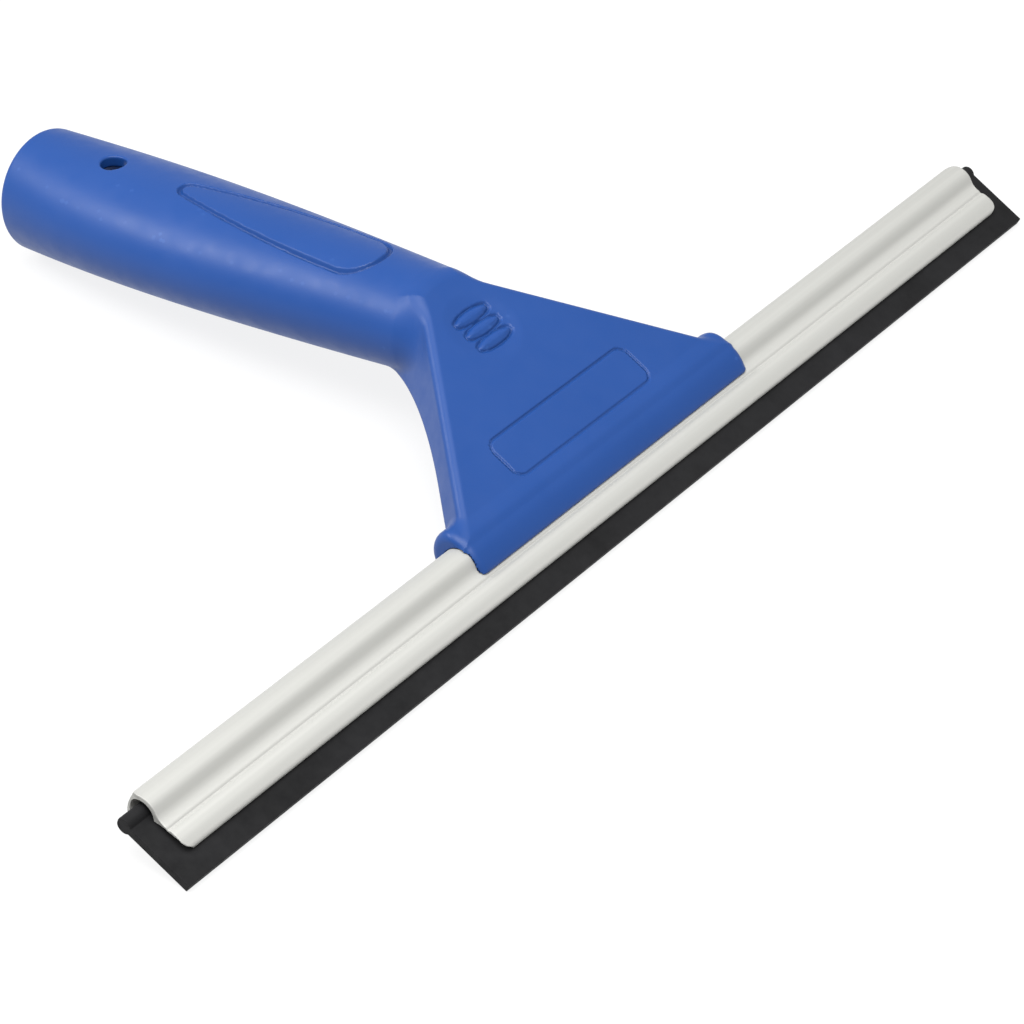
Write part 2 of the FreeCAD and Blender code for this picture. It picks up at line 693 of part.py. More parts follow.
document = FreeCAD.newDocument("Squeegee")
sheet = make_sheet(document)
bodies = [build_handle(), build_blade_channel(), build_rubber_blade()]
on_the_table = table_placement()
for body in bodies:
    body.Placement = on_the_table
document.recompute()
check_model(bodies)

os.makedirs("parts", exist_ok=True)
for body in bodies:
    body.Shape.exportStep(f"parts/{body.Label}.step")
    print(f"{body.Label}: {body.Shape.Volume:.0f} cubic millimetres")
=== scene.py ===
"""Window cleaning squeegee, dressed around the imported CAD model: a moulded blue handle, a satin aluminium
channel and a black rubber blade."""

import json
import math

import bpy
import numpy as np
from mathutils import Matrix, Vector


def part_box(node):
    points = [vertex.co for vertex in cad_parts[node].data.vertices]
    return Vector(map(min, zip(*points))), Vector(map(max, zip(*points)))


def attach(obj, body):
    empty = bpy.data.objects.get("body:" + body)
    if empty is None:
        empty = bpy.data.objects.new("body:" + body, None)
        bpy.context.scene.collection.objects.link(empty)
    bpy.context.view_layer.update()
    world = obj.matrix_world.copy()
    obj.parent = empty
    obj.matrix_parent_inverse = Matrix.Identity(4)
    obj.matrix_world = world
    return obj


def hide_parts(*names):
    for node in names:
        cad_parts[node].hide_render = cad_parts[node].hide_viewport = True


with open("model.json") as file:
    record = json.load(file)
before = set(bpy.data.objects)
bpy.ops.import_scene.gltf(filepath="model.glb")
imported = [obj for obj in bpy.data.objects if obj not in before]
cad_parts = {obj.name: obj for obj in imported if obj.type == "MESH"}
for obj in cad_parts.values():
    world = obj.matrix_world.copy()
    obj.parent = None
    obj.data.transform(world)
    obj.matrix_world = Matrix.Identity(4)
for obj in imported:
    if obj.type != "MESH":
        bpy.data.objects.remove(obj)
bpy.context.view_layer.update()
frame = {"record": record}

MM = 0.001

# ---------------------------------------------------------------- the two working frames, in millimetres

# Barrel frame: "reach" forward from the middle of the barrel's rear end, and "lift" square to its axis.
socket = next(mount for mount in frame["record"]["mounts"] if mount["name"] == "pole_socket")
SOCKET_RADIUS = socket["dims"]["r_mm"]
SOCKET_DEPTH = socket["dims"]["length_mm"]
BARREL_ALONG = -Vector(socket["axis"])
BARREL_REAR = Vector(socket["pos_m"]) / MM - BARREL_ALONG * SOCKET_DEPTH / 2

# Head frame: x along the blade, "setback" back from the working edge in the blade's plane, and "rise" square
# to that plane. Its pitch is the blade's slope on the table, and the crank is its angle to the barrel.
CRANK = math.radians(31.4)
PITCH = CRANK - math.atan2(BARREL_ALONG.z, BARREL_ALONG.y)
PITCH_COS, PITCH_SIN = math.cos(PITCH), math.sin(PITCH)
HALF_RUBBER = 1.0
rubber_low, rubber_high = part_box("rubber_blade")
EDGE_Y = rubber_high.y / MM - HALF_RUBBER * PITCH_SIN
EDGE_Z = rubber_low.z / MM + HALF_RUBBER * PITCH_COS


def head_coordinates(y, z):
    """Setback and rise of row-frame points."""
    dy, dz = y - EDGE_Y, z - EDGE_Z
    return dz * PITCH_SIN - dy * PITCH_COS, dy * PITCH_SIN + dz * PITCH_COS


def barrel_coordinates(y, z):
    """Reach and lift of row-frame points."""
    dy, dz = y - BARREL_REAR.y, z - BARREL_REAR.z
    reach = dy * BARREL_ALONG.y + dz * BARREL_ALONG.z
    return reach, dz * BARREL_ALONG.y - dy * BARREL_ALONG.z


def head_point(x, setback, rise):
    """A head-frame point in row-frame metres."""
    y = EDGE_Y - setback * PITCH_COS + rise * PITCH_SIN
    z = EDGE_Z + setback * PITCH_SIN + rise * PITCH_COS
    return x * MM, y * MM, z * MM


# ---------------------------------------------------------------- solids as distance fields, in millimetres


def round_max(a, b, radius):
    """Where both solids are, with the edge between them rounded."""
    over = np.hypot(np.maximum(a + radius, 0), np.maximum(b + radius, 0))
    return np.minimum(np.maximum(a, b), -radius) + over


def round_min(a, b, radius):
    """Where either solid is, with the corner between them filled to a radius."""
    return -round_max(-a, -b, radius)


def smooth_step(value, low, high):
    """Rises smoothly from 0 at low to 1 at high."""
    t = np.clip((value - low) / (high - low), 0, 1)
    return t * t * (3 - 2 * t)


SMALLEST_SLOPE = 1e-6


def oval(across, up, half_width, half_height):
    """Distance to an ellipse, close to exact near its outline."""
    k = np.hypot(across / half_width, up / half_height)
    slope = np.hypot(across / half_width**2, up / half_height**2)
    return k * (k - 1) / np.maximum(slope, SMALLEST_SLOPE)


# The barrel's oval sections: reach, half width and half height, with one smooth curve through each size.
BARREL_SECTIONS = ((0, 15.5, 15.5), (41, 18.9, 14.1), (81, 17.5, 13.4), (122, 14.7, 11.9))
barrel_reach, barrel_widths, barrel_heights = zip(*BARREL_SECTIONS)
WIDTH_CURVE = np.polyfit(barrel_reach, barrel_widths, 3)
HEIGHT_CURVE = np.polyfit(barrel_reach, barrel_heights, 3)
BARREL_FRONT, FRONT_ROUNDING = 130.0, 6.0
RIM_RADIUS = 1.5


def barrel(side, reach, lift):
    """The oval grip, with a rounded rear rim."""
    tube = oval(side, lift, np.polyval(WIDTH_CURVE, reach), np.polyval(HEIGHT_CURVE, reach))
    tube = round_max(tube, reach - BARREL_FRONT, FRONT_ROUNDING)
    return round_max(tube, -reach, RIM_RADIUS)


ROOT_SETBACK, ROOT_RISE = 56.0, -2.5
ROOT_HALF_SIZES = (12.0, 27.0, 9.5)
ROOT_LEAN = math.radians(12)


def root(side, setback, rise):
    """The keel under the fan that the barrel runs out into."""
    back, up = setback - ROOT_SETBACK, rise - ROOT_RISE
    along = back * math.cos(ROOT_LEAN) - up * math.sin(ROOT_LEAN)
    up = back * math.sin(ROOT_LEAN) + up * math.cos(ROOT_LEAN)
    shares = [part / size for part, size in zip((side, along, up), ROOT_HALF_SIZES)]
    k = np.sqrt(sum(share**2 for share in shares))
    slope = np.sqrt(sum((share / size) ** 2 for share, size in zip(shares, ROOT_HALF_SIZES)))
    return k * (k - 1) / np.maximum(slope, SMALLEST_SLOPE)


FAN_TOP, FAN_BOTTOM = 5.7, 3.3
FAN_FRONT, FAN_BACK = 19.0, 72.0
FAN_TAPER = 0.832
FAN_HALF_WIDTH_AT_NECK, NECK_SETBACK = 16.3, 60.1
SKIRT_START, SKIRT_RADIUS = 36.0, 45.0
SKIRT_END, SKIRT_SLOPE, SKIRT_OVERLAP = 65.5, 0.61, 4.0
EDGE_RADIUS, SKIRT_EDGE_RADIUS = 2.0, 1.2


def fan(side, setback, rise):
    """The triangular plate, whose underside drops in an arc and then runs back along the barrel."""
    half_width = FAN_HALF_WIDTH_AT_NECK - FAN_TAPER * (setback - NECK_SETBACK)
    flank = (side - half_width) / math.hypot(1, FAN_TAPER)
    arc_rise = -FAN_BOTTOM - SKIRT_RADIUS
    under_arc = SKIRT_RADIUS - np.hypot(np.maximum(setback - SKIRT_START, 0), rise - arc_rise)
    end_rise = arc_rise + math.sqrt(SKIRT_RADIUS**2 - (SKIRT_END - SKIRT_START) ** 2)
    under_run = end_rise - SKIRT_SLOPE * (setback - SKIRT_END) - rise
    under_run = under_run / math.hypot(1, SKIRT_SLOPE)
    under = np.where(setback > SKIRT_END - SKIRT_OVERLAP, np.maximum(under_arc, under_run), under_arc)
    plate = round_max(flank, under, SKIRT_EDGE_RADIUS)
    return np.maximum(plate, np.maximum(FAN_FRONT - setback, setback - FAN_BACK))


JAW_RADIUS, JAW_SETBACK = 6.8, 19.6
JAW_TIP_RADIUS, JAW_TIP_SETBACK = 3.97, 14.4
JAW_MOUTH, JAW_HALF_LENGTH = 12.3, 50.6
JAW_TOP, JAW_END_ROUNDING, JAW_LIP_ROUNDING = 5.95, 2.2, 0.5


def jaw(side, setback, rise):
    """The grip round the channel: a round back, tapering to two lips, with rounded ends."""
    length = JAW_SETBACK - JAW_TIP_SETBACK
    lean = (JAW_RADIUS - JAW_TIP_RADIUS) / length
    square = math.sqrt(1 - lean**2)
    out, forward = np.abs(rise), JAW_SETBACK - setback
    along = forward * square - out * lean
    back = np.hypot(out, forward) - JAW_RADIUS
    tip = np.hypot(out, forward - length) - JAW_TIP_RADIUS
    profile = np.where(along < 0, back, out * square + forward * lean - JAW_RADIUS)
    profile = np.where(along > length * square, tip, profile)
    profile = round_max(profile, JAW_MOUTH - setback, JAW_LIP_ROUNDING)
    profile = round_max(profile, rise - JAW_TOP, EDGE_RADIUS)
    return round_max(profile, side - JAW_HALF_LENGTH, JAW_END_ROUNDING)


# The channel's outline in the head frame: a round bulge, a waist and a lip, each arc tangent to the next.
BULGE_RADIUS, BULGE_SETBACK = 4.45, 17.9
WAIST_RADIUS, WAIST_SETBACK = 4.2, 12.6
LIP_RADIUS, LIP_SETBACK = 8.0, 9.0
NOSE_RADIUS, NOSE_FRONT = 1.1, 5.6
CHANNEL_WALL, SLOT_HALF = 1.2, 1.1
WAIST_RISE = math.sqrt((BULGE_RADIUS + WAIST_RADIUS) ** 2 - (BULGE_SETBACK - WAIST_SETBACK) ** 2)
LIP_RISE = WAIST_RISE - math.sqrt((WAIST_RADIUS + LIP_RADIUS) ** 2 - (WAIST_SETBACK - LIP_SETBACK) ** 2)
NOSE_SETBACK = NOSE_FRONT + NOSE_RADIUS
NOSE_RISE = LIP_RISE + math.sqrt((LIP_RADIUS - NOSE_RADIUS) ** 2 - (LIP_SETBACK - NOSE_SETBACK) ** 2)
SEAT_GAP = 0.06


def channel_seat(setback, rise):
    """The room that the channel takes in the jaw."""
    out = np.abs(rise)
    bulge = np.hypot(setback - BULGE_SETBACK, rise) - BULGE_RADIUS
    waist = WAIST_RADIUS - np.hypot(setback - WAIST_SETBACK, out - WAIST_RISE)
    waist = np.where(setback < WAIST_SETBACK, out - WAIST_RISE + WAIST_RADIUS, waist)
    share = BULGE_RADIUS / (BULGE_RADIUS + WAIST_RADIUS)
    meeting = BULGE_SETBACK + share * (WAIST_SETBACK - BULGE_SETBACK)
    return np.minimum(bulge, np.maximum(waist, setback - meeting)) - SEAT_GAP


PAD_TIP_REACH, PAD_TIP_RADIUS = 51.5, 3.2
PAD_FRONT_REACH, PAD_FRONT_RADIUS = 103.2, 8.6
PAD_SIDE_RADIUS = 250.0
GROOVE_WIDTH, GROOVE_DEPTH, GROOVE_FLOOR = 1.4, 0.85, 0.3
GROOVE_SPREAD = 0.6


def pad_outline(side, reach):
    """Distance in plan to the thumb pad's outline: a tip and a front arc, joined by two bowed sides."""
    span = PAD_FRONT_REACH - PAD_TIP_REACH
    to_tip, to_front = PAD_SIDE_RADIUS - PAD_TIP_RADIUS, PAD_SIDE_RADIUS - PAD_FRONT_RADIUS
    along = (to_tip**2 - to_front**2 + span**2) / (2 * span)
    bow = math.sqrt(to_tip**2 - along**2)
    flank = np.hypot(side + bow, reach - PAD_TIP_REACH - along) - PAD_SIDE_RADIUS
    tip = np.hypot(side, reach - PAD_TIP_REACH) - PAD_TIP_RADIUS
    front = np.hypot(side, reach - PAD_FRONT_REACH) - PAD_FRONT_RADIUS
    flank = np.where(reach < PAD_TIP_REACH, tip, flank)
    return np.where(reach > PAD_FRONT_REACH, front, flank)


def pad_groove(side, reach, lift):
    """Depth of the groove that outlines the thumb pad."""
    off_middle = np.abs(pad_outline(side, reach) + GROOVE_WIDTH / 2)
    groove = GROOVE_DEPTH * (1 - smooth_step(off_middle, GROOVE_FLOOR / 2, GROOVE_WIDTH * GROOVE_SPREAD))
    return groove * (lift > 0)


DISH_SETBACK, DISH_RADIUS, DISH_DEPTH, DISH_SLOPE = 57.5, 10.2, 0.4, 5.0
OVAL_HALF_LENGTH, OVAL_HALF_WIDTH, OVAL_PITCH, OVAL_SKIRT = 5.4, 1.45, 3.8, 0.4
MOAT_WIDTH, MOAT_DEPTH = 0.6, 0.5


def thumb_rest(side, setback, rise):
    """Depth of the shallow dish in the fan's face, less three domed ovals, each with a moat round it."""
    dish = smooth_step(-(np.hypot(side, setback - DISH_SETBACK) - DISH_RADIUS), 0.0, DISH_SLOPE)
    domes, moats = np.zeros_like(dish), np.zeros_like(dish)
    for step in (-1, 0, 1):
        outline = oval(side, setback - DISH_SETBACK - step * OVAL_PITCH, OVAL_HALF_LENGTH, OVAL_HALF_WIDTH)
        domes = np.maximum(domes, 1 - smooth_step(outline, -OVAL_HALF_WIDTH, OVAL_SKIRT))
        moats = np.maximum(moats, 1 - smooth_step(np.abs(outline - MOAT_WIDTH / 2), 0.0, MOAT_WIDTH))
    return (DISH_DEPTH * dish * (1 - domes) + MOAT_DEPTH * moats * (1 - domes)) * (rise > 0)


BADGE_SETBACK, BADGE_HALF_LENGTH, BADGE_HALF_WIDTH, BADGE_CORNER = 29.5, 25.0, 5.5, 3.0
BADGE_LINE, BADGE_DEPTH, BADGE_FLOOR = 0.4, 0.4, 0.2


def badge_frame(side, setback, rise):
    """Depth of a plain engraved frame on the fan's face: a rounded oblong, with nothing in it."""
    over_x = side - BADGE_HALF_LENGTH + BADGE_CORNER
    over_y = np.abs(setback - BADGE_SETBACK) - BADGE_HALF_WIDTH + BADGE_CORNER
    outline = np.hypot(np.maximum(over_x, 0), np.maximum(over_y, 0)) - BADGE_CORNER
    outline = outline + np.minimum(np.maximum(over_x, over_y), 0)
    line = 1 - smooth_step(np.abs(outline), BADGE_FLOOR / 2, BADGE_FLOOR / 2 + BADGE_LINE)
    return BADGE_DEPTH * line * (rise > 0)


LOCK_HOLE_RADIUS, LOCK_HOLE_REACH = 3.2, 26.4
# The neck's fillet, which shrinks on its way down from one rise to another, and the other roundings.
NECK_FILLET, NECK_FILLET_LOSS = 4.5, 3.2
NECK_FILLET_TOP, NECK_FILLET_LOW = -1.0, -12.0
ROOT_BLEND, JAW_BLEND = 4.0, 1.2
SEAT_EDGE, BORE_EDGE, HOLE_EDGE = 0.2, 0.8, 0.6


def handle(x, y, z):
    """Distance in millimetres from row-frame points to the moulding's surface, negative inside it."""
    side = np.abs(x)
    setback, rise = head_coordinates(y, z)
    reach, lift = barrel_coordinates(y, z)
    neck_fillet = NECK_FILLET - NECK_FILLET_LOSS * smooth_step(-rise, -NECK_FILLET_TOP, -NECK_FILLET_LOW)
    grip = round_min(barrel(side, reach, lift), root(side, setback, rise), ROOT_BLEND)
    body = round_min(grip, fan(side, setback, rise), neck_fillet)
    body = round_max(body, rise - FAN_TOP, EDGE_RADIUS)
    body = round_min(body, jaw(side, setback, rise), JAW_BLEND)
    body = body + pad_groove(side, reach, lift)
    body = body + thumb_rest(side, setback, rise) + badge_frame(side, setback, rise)
    body = round_max(body, -channel_seat(setback, rise), SEAT_EDGE)
    bore = np.maximum(np.hypot(side, lift) - SOCKET_RADIUS, reach - SOCKET_DEPTH)
    body = round_max(body, -bore, BORE_EDGE)
    hole = np.maximum(np.hypot(side, reach - LOCK_HOLE_REACH) - LOCK_HOLE_RADIUS, -lift)
    return round_max(body, -hole, HOLE_EDGE)


# ---------------------------------------------------------------- meshing a distance field

GRID_STEP = 0.45
NUDGE = 0.02
FIRST_MOVES, RELAXING_ROUNDS = 2, 6
FLATTEST_SLOPE = 0.05


def sample(field, low, high):
    """The field's sign on a grid over a box, worked out one slice at a time."""
    axes = [np.arange(a, b + GRID_STEP, GRID_STEP) for a, b in zip(low, high)]
    y, z = np.meshgrid(axes[1], axes[2], indexing="ij")
    return np.stack([field(np.full_like(y, x), y, z) < 0 for x in axes[0]])


def net_faces(inside):
    """One vertex for each grid cell that the surface crosses, and one quad for each crossed grid edge."""
    cells = tuple(n - 1 for n in inside.shape)
    corners = np.zeros(cells, np.int8)
    for i in (0, 1):
        for j in (0, 1):
            for k in (0, 1):
                corners += inside[i : i + cells[0], j : j + cells[1], k : k + cells[2]]
    crossed = (corners > 0) & (corners < 8)
    number = np.full(cells, -1)
    number[crossed] = np.arange(crossed.sum())
    quads = []
    for axis in range(3):
        along = [slice(None, -1) if a == axis else slice(1, -1) for a in range(3)]
        ahead = [slice(1, None) if a == axis else slice(1, -1) for a in range(3)]
        start, end = inside[tuple(along)], inside[tuple(ahead)]
        step_b, step_c = np.eye(3, dtype=int)[(axis + 1) % 3], np.eye(3, dtype=int)[(axis + 2) % 3]
        for leaving in (True, False):
            at = np.argwhere((start != end) & (start == leaving))
            ring = [at, at + step_b, at + step_b + step_c, at + step_c]
            quad = np.stack([number[tuple(cell.T)] for cell in ring], axis=1)
            quads.append(quad if leaving else quad[:, ::-1])
    return np.argwhere(crossed), np.concatenate(quads)


def slope_of(field, points):
    """The field at some points, and its slope there."""
    here = field(*points.T)
    slope = np.empty_like(points)
    for axis in range(3):
        moved = points.copy()
        moved[:, axis] += NUDGE
        slope[:, axis] = (field(*moved.T) - here) / NUDGE
    return here, slope


def onto_surface(field, points):
    """Moves points straight onto the field's zero, by half a grid step at most along each axis."""
    here, slope = slope_of(field, points)
    move = here[:, None] * slope / np.maximum((slope**2).sum(1), FLATTEST_SLOPE)[:, None]
    return points - np.clip(move, -GRID_STEP / 2, GRID_STEP / 2)


def relaxed(points, quads):
    """Moves each point to the middle of its neighbours."""
    total, count = np.zeros_like(points), np.zeros(len(points))
    for a, b in ((0, 1), (1, 2), (2, 3), (3, 0)):
        for one, other in ((quads[:, a], quads[:, b]), (quads[:, b], quads[:, a])):
            count += np.bincount(one, minlength=len(points))
            for axis in range(3):
                total[:, axis] += np.bincount(one, points[other, axis], len(points))
    return total / np.maximum(count, 1)[:, None]


def mesh_of_field(name, field, low, high):
    """A mesh that follows a field's surface inside a box, with the field's own normals."""
    low, high = np.array(low) - 2 * GRID_STEP, np.array(high) + 2 * GRID_STEP
    cells, quads = net_faces(sample(field, low, high))
    points = low + (cells + 0.5) * GRID_STEP
    for _ in range(FIRST_MOVES):
        points = onto_surface(field, points)
    for _ in range(RELAXING_ROUNDS):
        points = onto_surface(field, relaxed(points, quads))
    points = onto_surface(field, points)
    mesh = bpy.data.meshes.new(name)
    mesh.from_pydata((points * MM).tolist(), [], quads.tolist())
    mesh.shade_smooth()
    _, slope = slope_of(field, points)
    normals = slope / np.linalg.norm(slope, axis=1)[:, None]
    mesh.normals_split_custom_set_from_vertices(normals.tolist())
    return mesh


# ---------------------------------------------------------------- drawn profiles, extruded along the blade


def arc(centre, radius, first, last, steps):
    """Points along an arc, from one angle to another, in setback and rise."""
    angles = np.linspace(first, last, steps + 1)
    return [(centre[0] + radius * math.cos(a), centre[1] + radius * math.sin(a)) for a in angles]


def direction(start, end):
    """The angle of the line from one point to another."""
    return math.atan2(end[1] - start[1], end[0] - start[0])


def corner_inset(depth, radius):
    """How far in an end is at a depth from the outline's front or back, with its corners cut round."""
    return radius - math.sqrt(radius**2 - max(radius - depth, 0) ** 2)


SHARPEST_SMOOTH_ANGLE = math.radians(35)
EDGE_SEGMENTS = 2


def extruded(name, outline, half_length, edge, corner):
    """A prism of a closed outline along x, with round corners in plan and its end edges worn."""
    count = len(outline)
    front, back = min(point[0] for point in outline), max(point[0] for point in outline)
    insets = [corner_inset(min(setback - front, back - setback), corner) for setback, _ in outline]
    points = []
    for end in (-1, 1):
        points += [head_point(end * (half_length - i), *point) for i, point in zip(insets, outline)]
    faces = [(i, (i + 1) % count, count + (i + 1) % count, count + i) for i in range(count)]
    faces += [tuple(range(count))[::-1], tuple(range(count, 2 * count))]
    mesh = bpy.data.meshes.new(name)
    mesh.from_pydata(points, [], faces)
    mesh.shade_smooth()
    piece = bpy.data.objects.new(name, mesh)
    bpy.context.scene.collection.objects.link(piece)
    bevel = piece.modifiers.new("worn edges", "BEVEL")
    bevel.width = edge * MM
    bevel.segments = EDGE_SEGMENTS
    bevel.limit_method = "ANGLE"
    bevel.angle_limit = SHARPEST_SMOOTH_ANGLE
    bevel.harden_normals = True
    return piece


# ---------------------------------------------------------------- materials


# The colour mixing node's sockets, which share their names with its number and vector sockets.
COLOUR_A, COLOUR_B, MIXED_COLOUR = 6, 7, 2


class Nodes:
    """A short way to write a material's node tree."""

    def __init__(self, name):
        self.material = bpy.data.materials.new(name)
        self.material.use_nodes = True
        self.tree = self.material.node_tree
        self.shader = self.tree.nodes["Principled BSDF"]

    def add(self, kind, inputs=None, **settings):
        """A new node, with its settings, and each input set to a value or joined to another node."""
        node = self.tree.nodes.new("ShaderNode" + kind)
        for key, value in settings.items():
            setattr(node, key, value)
        for key, value in (inputs or {}).items():
            if isinstance(value, bpy.types.NodeSocket):
                self.tree.links.new(value, node.inputs[key])
            else:
                node.inputs[key].default_value = value
        return node

    def link(self, output, key):
        """Joins an output to one of the shader's inputs."""
        self.tree.links.new(output, self.shader.inputs[key])

    def noise(self, scale, detail=3.0, stretch=(1, 1, 1)):
        """Noise over the object's own space, stretched along its axes."""
        place = self.add("TexCoord").outputs["Object"]
        spread = self.add("Mapping", {"Vector": place, "Scale": stretch}).outputs["Vector"]
        return self.add("TexNoise", {"Vector": spread, "Scale": scale, "Detail": detail}).outputs["Fac"]

    def ramp(self, factor, low, high, at=(0.3, 0.7)):
        """Runs between two numbers or two colours as factor goes through at."""
        ends = [(v, v, v, 1) if isinstance(v, float) else (*v, 1) for v in (low, high)]
        node = self.add("ValToRGB", {"Fac": factor})
        for element, place, colour in zip(node.color_ramp.elements, at, ends):
            element.position = place
            element.color = colour
        return node.outputs["Color"]

    def mix(self, factor, one, other, blend="MIX"):
        """Two colours mixed or multiplied."""
        inputs = {"Factor": factor}
        node = self.add("Mix", inputs, data_type="RGBA", blend_type=blend)
        for key, value in ((COLOUR_A, one), (COLOUR_B, other)):
            if isinstance(value, bpy.types.NodeSocket):
                self.tree.links.new(value, node.inputs[key])
            else:
                node.inputs[key].default_value = (*value, 1)
        return node.outputs[MIXED_COLOUR]

    def bump(self, *layers):
        """Bumps laid one on another, each a height and its depth in millimetres."""
        normal = None
        for height, depth in layers:
            inputs = {"Height": height, "Distance": depth * MM, "Strength": 1.0}
            if normal:
                inputs["Normal"] = normal
            normal = self.add("Bump", inputs).outputs["Normal"]
        self.link(normal, "Normal")


def blue_plastic():
    """Satin moulded polypropylene: fine grain, faint flow clouds, painted shade darkening the grooves and
    hollows, and paler rubbed edges.
    """
    m = Nodes("blue_plastic")
    clouds = m.noise(18, 4)
    base = m.ramp(clouds, (0.007, 0.047, 0.206), (0.010, 0.054, 0.228))
    curve = m.add("NewGeometry").outputs["Pointiness"]
    # Painted shade: the base colour is darkened where the surface curves inward, in the pad groove, the
    # moats and other hollows.
    base = m.mix(1.0, base, m.ramp(curve, 0.4, 1.0, (0.38, 0.48)), "MULTIPLY")
    edges = m.ramp(curve, 0.0, 0.4, (0.54, 0.64))
    patchy = m.mix(1.0, edges, m.ramp(m.noise(160, 5), 0.2, 1.0), "MULTIPLY")
    m.link(m.mix(patchy, base, (0.035, 0.10, 0.32)), "Base Color")
    m.link(m.ramp(m.noise(220, 6), 0.36, 0.47), "Roughness")
    m.shader.inputs["Specular IOR Level"].default_value = 0.30
    m.bump((m.noise(2600, 2), 0.012), (m.noise(60, 3), 0.05))
    return m.material


def satin_aluminium():
    """Anodised extrusion: fine die lines along the blade, slight tone and gloss changes between them, and
    painted shade along its creases.
    """
    m = Nodes("satin_aluminium")
    lines = m.noise(1400, 3, (0.004, 1, 1))
    bands = m.noise(260, 2, (0.002, 1, 1))
    metal = m.ramp(bands, (0.39, 0.39, 0.37), (0.50, 0.50, 0.475))
    # Painted shade: the base colour is darkened where the surface folds inward, along the waist creases.
    crease = m.ramp(m.add("NewGeometry").outputs["Pointiness"], 0.5, 1.0, (0.30, 0.46))
    m.link(m.mix(1.0, metal, crease, "MULTIPLY"), "Base Color")
    m.link(m.ramp(lines, 0.52, 0.66), "Roughness")
    m.shader.inputs["Metallic"].default_value = 0.3
    m.bump((lines, 0.008), (m.noise(3000, 2), 0.003))
    return m.material


def black_rubber():
    """Matte natural rubber: a soft fine skin, with a little pale bloom in cloudy patches."""
    m = Nodes("black_rubber")
    bloom = m.noise(70, 6)
    m.link(m.ramp(bloom, (0.004, 0.004, 0.0045), (0.009, 0.009, 0.010)), "Base Color")
    m.link(m.ramp(m.noise(400, 4), 0.62, 0.80), "Roughness")
    m.shader.inputs["Specular IOR Level"].default_value = 0.22
    m.bump((m.noise(2200, 3), 0.010), (m.noise(90, 3, (0.2, 1, 1)), 0.03))
    return m.material


def floor_white():
    """Pale matt studio paper, bright mostly by its own light, so that shadows on it stay faint."""
    m = Nodes("floor_white")
    m.link(m.ramp(m.noise(3, 2), (0.12, 0.12, 0.12), (0.13, 0.13, 0.13)), "Base Color")
    m.shader.inputs["Emission Color"].default_value = (1, 1, 1, 1)
    m.shader.inputs["Emission Strength"].default_value = 0.84
    m.shader.inputs["Roughness"].default_value = 0.9
    m.shader.inputs["Specular IOR Level"].default_value = 0.1
    return m.material


# ---------------------------------------------------------------- the pieces


def add_handle():
    """The blue moulding, meshed from its distance field."""
    low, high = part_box("handle")
    mesh = mesh_of_field("handle_moulding", handle, low / MM, high / MM)
    piece = bpy.data.objects.new("handle_moulding", mesh)
    bpy.context.scene.collection.objects.link(piece)
    mesh.materials.append(blue_plastic())
    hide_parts("handle")
    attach(piece, "frame")


CREASE_SETBACK, CREASE_HALF_WIDTH, CREASE_DEPTH = 11.3, 0.5, 0.4
ABOVE_SLOT = 1.5 * SLOT_HALF
BULGE_STEPS, CURVE_STEPS, NOSE_STEPS = 20, 14, 8


def channel_outline():
    """The extrusion's C, with a fine crease along each waist, as setbacks and rises."""
    bulge, waist = (BULGE_SETBACK, 0), (WAIST_SETBACK, WAIST_RISE)
    lip, nose = (LIP_SETBACK, LIP_RISE), (NOSE_SETBACK, NOSE_RISE)
    into_waist = direction(waist, bulge)
    out_of_waist = direction(waist, lip)
    upper = arc(bulge, BULGE_RADIUS, 0, direction(bulge, waist), BULGE_STEPS)
    upper += arc(waist, WAIST_RADIUS, into_waist, out_of_waist, CURVE_STEPS)[1:]
    upper += arc(lip, LIP_RADIUS, direction(lip, waist), direction(lip, nose), CURVE_STEPS)[1:]
    upper += arc(nose, NOSE_RADIUS, direction(lip, nose), math.pi, NOSE_STEPS)[1:]
    upper.append((NOSE_FRONT, SLOT_HALF))
    chamber = BULGE_RADIUS - CHANNEL_WALL
    throat = math.asin(SLOT_HALF / chamber)
    upper += arc(bulge, chamber, math.pi - throat, 0, BULGE_STEPS)
    outer = [(setback, rise - crease_depth(setback, rise)) for setback, rise in upper]
    return outer + [(setback, -rise) for setback, rise in outer[-2:0:-1]]


def crease_depth(setback, rise):
    """How deep the crease is at a point of the outline, and nothing inside the slot."""
    if rise < ABOVE_SLOT:
        return 0.0
    off = abs(setback - CREASE_SETBACK) / CREASE_HALF_WIDTH
    return CREASE_DEPTH * max(0.0, 1 - off)


def add_channel():
    """The aluminium extrusion, with its ends' edges worn and their corners rounded in plan."""
    half_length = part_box("blade_channel")[1].x / MM
    piece = extruded("channel_extrusion", channel_outline(), half_length, edge=0.2, corner=2.2)
    piece.data.materials.append(satin_aluminium())
    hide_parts("blade_channel")
    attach(piece, "frame")


BEAD_RADIUS, RUBBER_DEPTH = 1.9, 19.9
BEAD_STEPS = 24


def rubber_outline():
    """The strip: a flat blade with a round bead along its back."""
    spread = math.asin(HALF_RUBBER / BEAD_RADIUS)
    bead = (RUBBER_DEPTH - BEAD_RADIUS, 0)
    points = [(0, -HALF_RUBBER)]
    points += arc(bead, BEAD_RADIUS, -math.pi + spread, math.pi - spread, BEAD_STEPS)
    return points + [(0, HALF_RUBBER)]


def add_rubber():
    """The rubber strip, which sticks out past both ends of the channel."""
    half_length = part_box("rubber_blade")[1].x / MM
    piece = extruded("rubber_strip", rubber_outline(), half_length, edge=0.15, corner=0.4)
    piece.data.materials.append(black_rubber())
    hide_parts("rubber_blade")
    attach(piece, "rubber")


# ---------------------------------------------------------------- studio


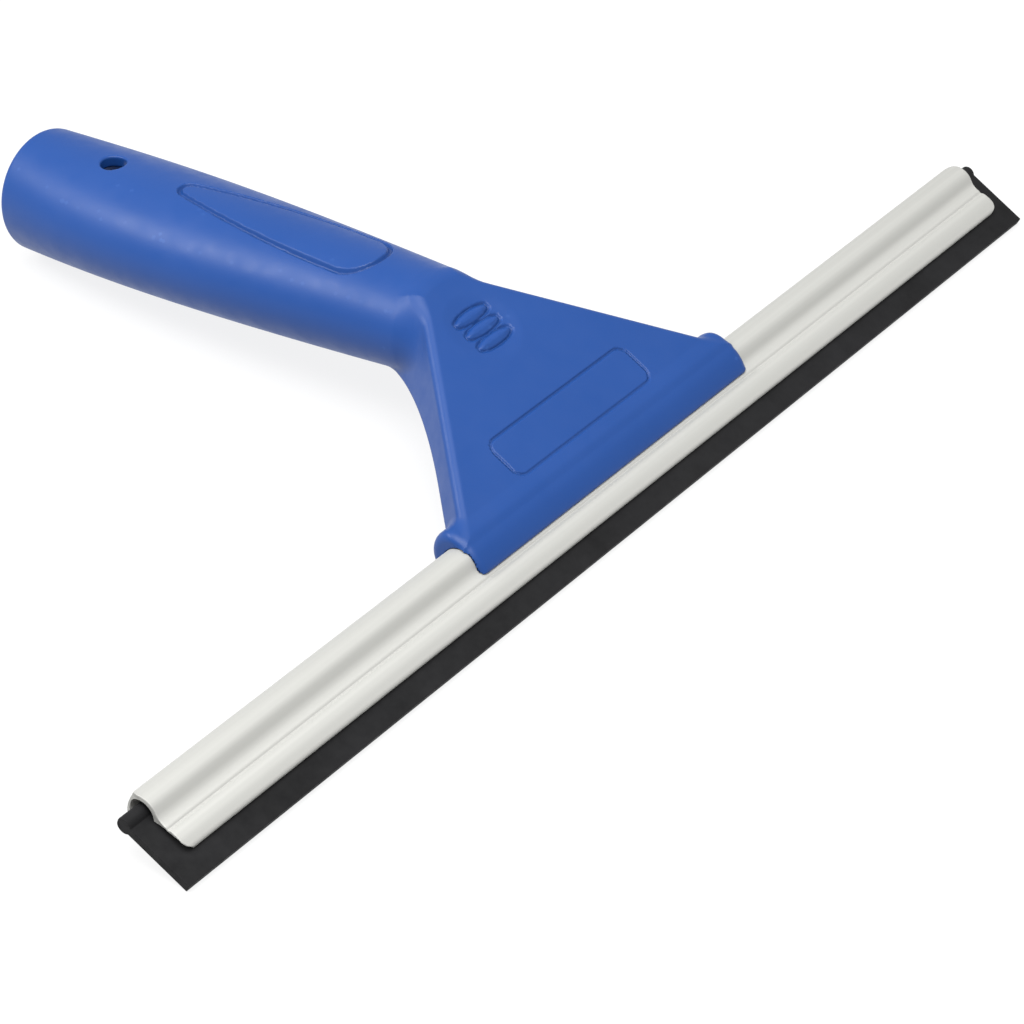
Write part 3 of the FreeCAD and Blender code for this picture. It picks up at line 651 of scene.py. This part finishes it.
FLOOR_HALF_SIZE = 4.0


def add_floor():
    """The paper that the squeegee lies on, reaching well past the camera's view."""
    mesh = bpy.data.meshes.new("studio_floor")
    half = FLOOR_HALF_SIZE
    corners = [(-half, -half, 0), (half, -half, 0), (half, half, 0), (-half, half, 0)]
    mesh.from_pydata(corners, [], [(0, 1, 2, 3)])
    mesh.materials.append(floor_white())
    floor = bpy.data.objects.new("studio_floor", mesh)
    bpy.context.scene.collection.objects.link(floor)


def add_softbox(name, at, target, size, power):
    """A large square light at one point, facing another."""
    light = bpy.data.lights.new(name, "AREA")
    light.shape = "SQUARE"
    light.size = size
    light.energy = power
    lamp = bpy.data.objects.new(name, light)
    lamp.location = at
    lamp.rotation_euler = (Vector(target) - Vector(at)).to_track_quat("-Z", "Y").to_euler()
    bpy.context.scene.collection.objects.link(lamp)


def add_light():
    """Even light from all round, a large softbox overhead and a small one near the grip."""
    world = bpy.data.worlds.new("studio")
    world.use_nodes = True
    world.node_tree.nodes["Background"].inputs["Color"].default_value = (1, 1, 1, 1)
    world.node_tree.nodes["Background"].inputs["Strength"].default_value = 0.62
    bpy.context.scene.world = world
    add_softbox("key_softbox", (0.30, 0.20, 1.35), (0, 0, 0.02), 1.1, 26)
    add_softbox("grip_softbox", (0.30, -0.42, 0.48), (0, -0.09, 0.02), 0.25, 2.4)
    bpy.context.scene.view_settings.view_transform = "Standard"


def add_camera():
    """A long lens at the angle that the squeegee is seen from, with a slight roll."""
    right = Vector((-0.61239, 0.79054, 0.00392))
    up = Vector((-0.47155, -0.36926, 0.80081))
    back = right.cross(up)
    data = bpy.data.cameras.new("camera")
    data.lens = 124.73
    data.sensor_width = 36.0
    camera = bpy.data.objects.new("camera", data)
    axes = Matrix((right, up, back)).transposed().to_4x4()
    camera.matrix_world = Matrix.Translation((0.52686, 0.45950, 0.47989)) @ axes
    bpy.context.scene.collection.objects.link(camera)
    bpy.context.scene.camera = camera


add_handle()
add_channel()
add_rubber()
add_floor()
add_light()
add_camera()
